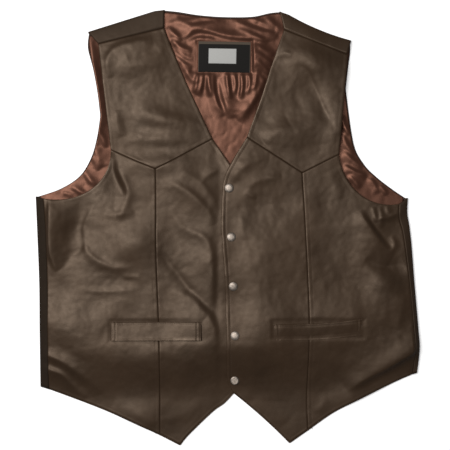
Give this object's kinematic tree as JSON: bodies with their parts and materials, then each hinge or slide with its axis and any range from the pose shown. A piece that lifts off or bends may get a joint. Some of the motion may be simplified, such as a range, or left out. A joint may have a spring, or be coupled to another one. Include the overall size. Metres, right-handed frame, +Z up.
{
  "type": "leather vest laid flat",
  "caption": "Men's western-yoke leather vest with a satin back lining, snap front and two welt pockets, fastened and laid flat on its back.",
  "frame": {"origin": "middle of the vest's outline in plan, on the flat underside of the back", "axes": "+X towards the wearer's left side, +Y from hem to neck, +Z up from the surface that the vest lies on"},
  "size_m": [0.5735, 0.656, 0.0144],
  "materials": {
    "leather": "semi-gloss dark brown garment leather",
    "lining": "copper satin",
    "label": "woven black label",
    "snap": "nickel-plated, polished dome"
  },
  "bodies": {
    "root": {"back_panel": "leather", "back_lining": "lining", "neck_label": "label", "right_front_yoke": "leather", "right_front_side": "leather", "right_front_centre": "leather", "right_pocket_welt": "leather", "left_front_yoke": "leather", "left_front_side": "leather", "left_front_centre": "leather", "left_pocket_welt": "leather", "snap_cap_1": "snap", "snap_socket_1": "snap", "snap_cap_2": "snap", "snap_socket_2": "snap", "snap_cap_3": "snap", "snap_socket_3": "snap", "snap_cap_4": "snap", "snap_socket_4": "snap", "snap_cap_5": "snap", "snap_socket_5": "snap"}
  },
  "joints": []
}
